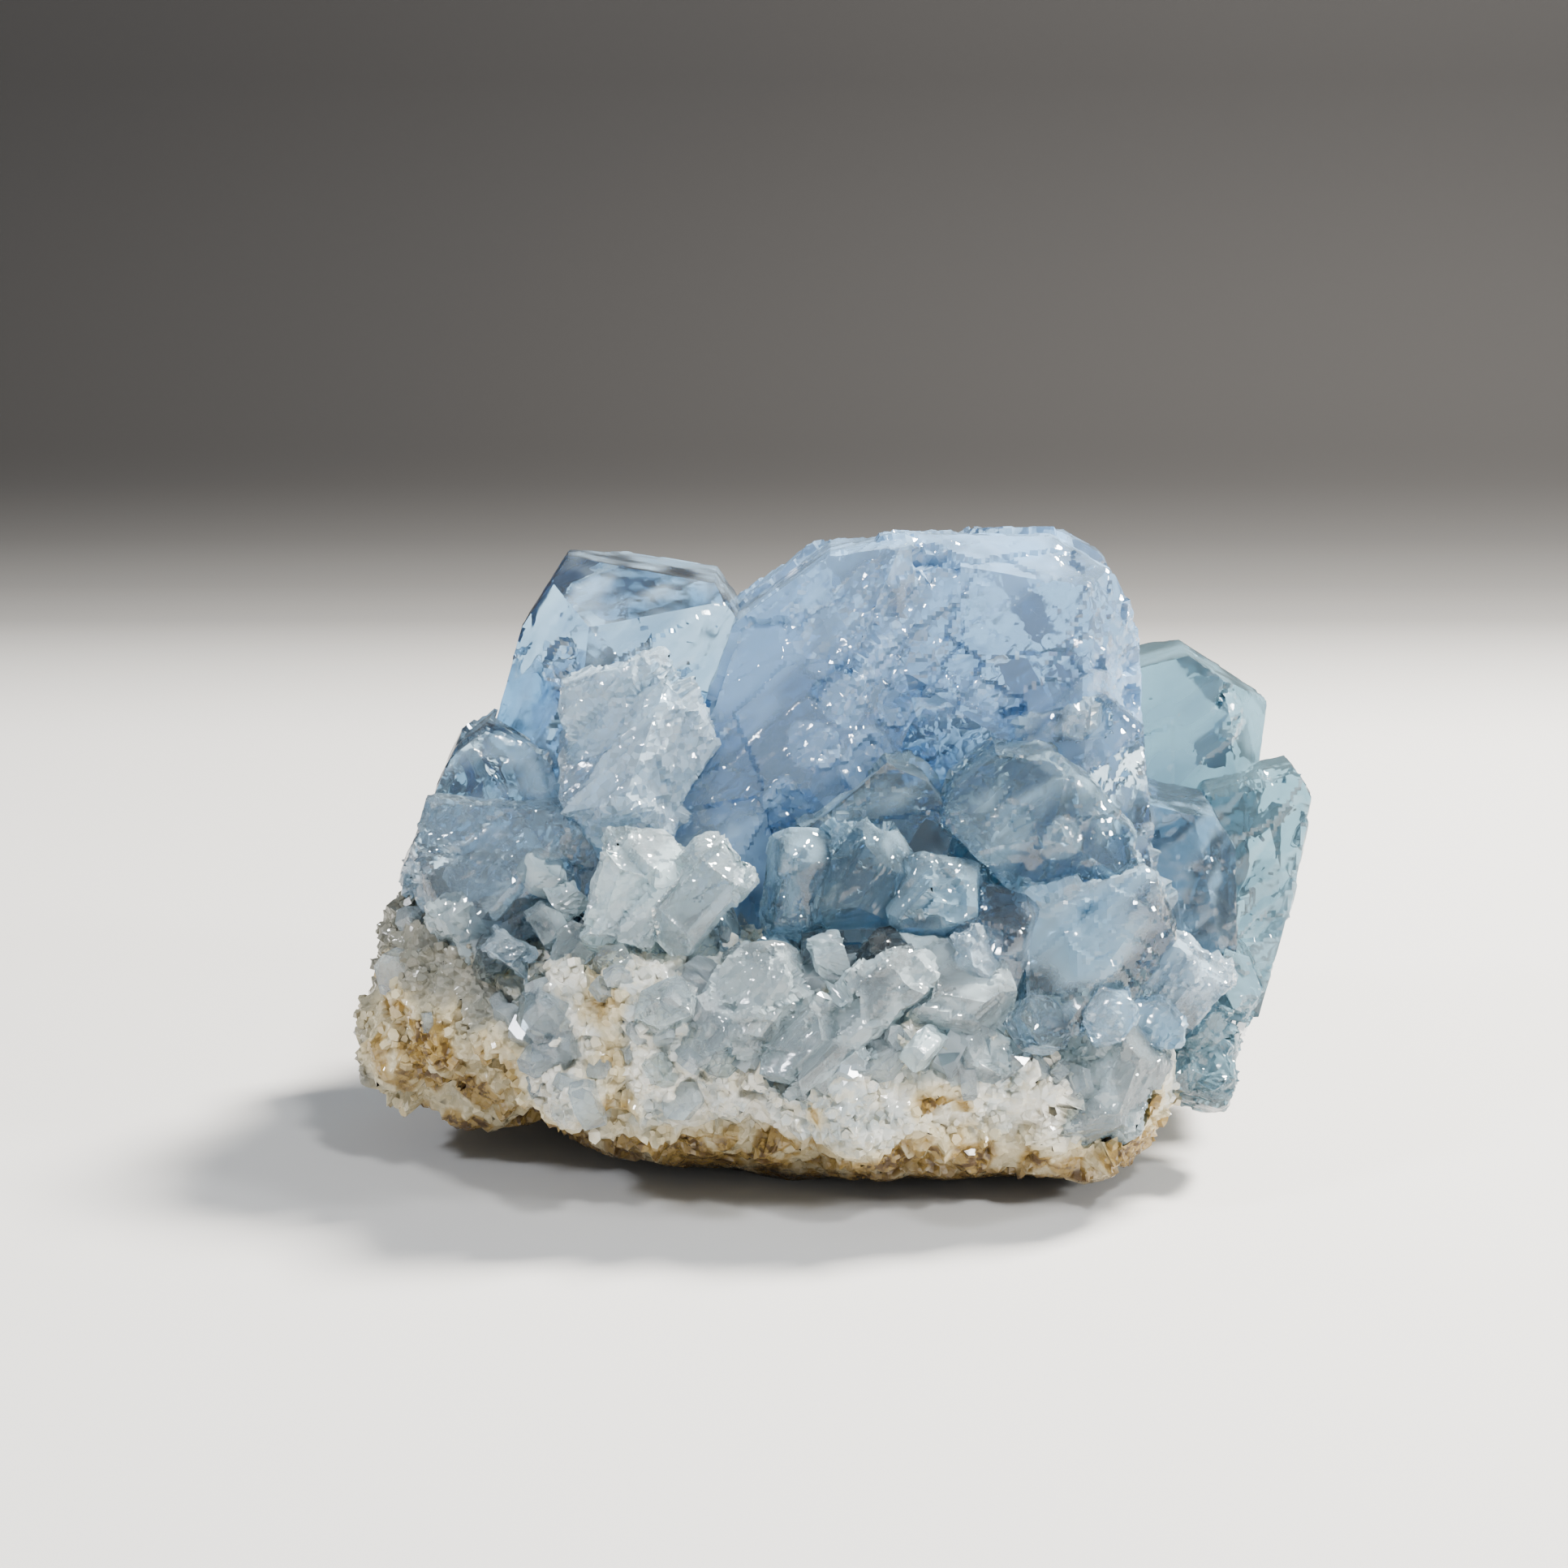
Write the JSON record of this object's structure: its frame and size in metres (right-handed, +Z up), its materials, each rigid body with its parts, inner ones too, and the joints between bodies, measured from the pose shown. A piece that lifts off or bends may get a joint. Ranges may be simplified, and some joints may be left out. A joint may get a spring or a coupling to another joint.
{
  "type": "celestite cluster",
  "caption": "Rough celestite: clear and milky blue blocky crystals grown together on a sugary, ochre-stained crust that rests on a small flat spot.",
  "frame": {"origin": "middle of the bounding box, on the surface that the specimen rests on", "axes": "+X to the right along the width of the side that shows best, +Y away from the viewer, +Z up"},
  "size_m": [0.0494, 0.0364, 0.0322],
  "materials": {
    "blue_celestite": "polished",
    "shaded_celestite": "polished",
    "teal_celestite": "polished",
    "white_celestite": "satin",
    "crust": "matte"
  },
  "bodies": {
    "root": {"crystal_centre_pair": "blue_celestite", "crystal_left_tall": "blue_celestite", "crystal_left_front": "blue_celestite", "crystal_left_block": "blue_celestite", "crystal_left_low": "blue_celestite", "crystal_right_clear": "blue_celestite", "crystal_right_round": "blue_celestite", "crystal_back_right": "teal_celestite", "crystal_far_right": "teal_celestite", "crystal_right_block": "shaded_celestite", "crystal_low_striated": "blue_celestite", "crystal_low_shiny": "blue_celestite", "crystal_low_dome": "blue_celestite", "crystal_shade_peak": "shaded_celestite", "crystal_shade_prism": "shaded_celestite", "crystal_shade_block": "shaded_celestite", "crystal_shade_step": "shaded_celestite", "crystal_white_left": "white_celestite", "crystal_white_right": "white_celestite", "crystal_ridge_left": "white_celestite", "crystal_ridge_prism": "white_celestite", "crystal_ridge_right": "white_celestite", "crystal_ridge_foot": "white_celestite", "crystal_edge_upper": "teal_celestite", "crystal_edge_lower": "teal_celestite", "crystal_rear_left": "blue_celestite", "crystal_rear_middle": "blue_celestite", "crystal_rear_right": "blue_celestite", "crystal_rear_edge": "blue_celestite", "crystal_rear_foot": "blue_celestite", "matrix": "crust"}
  },
  "joints": []
}
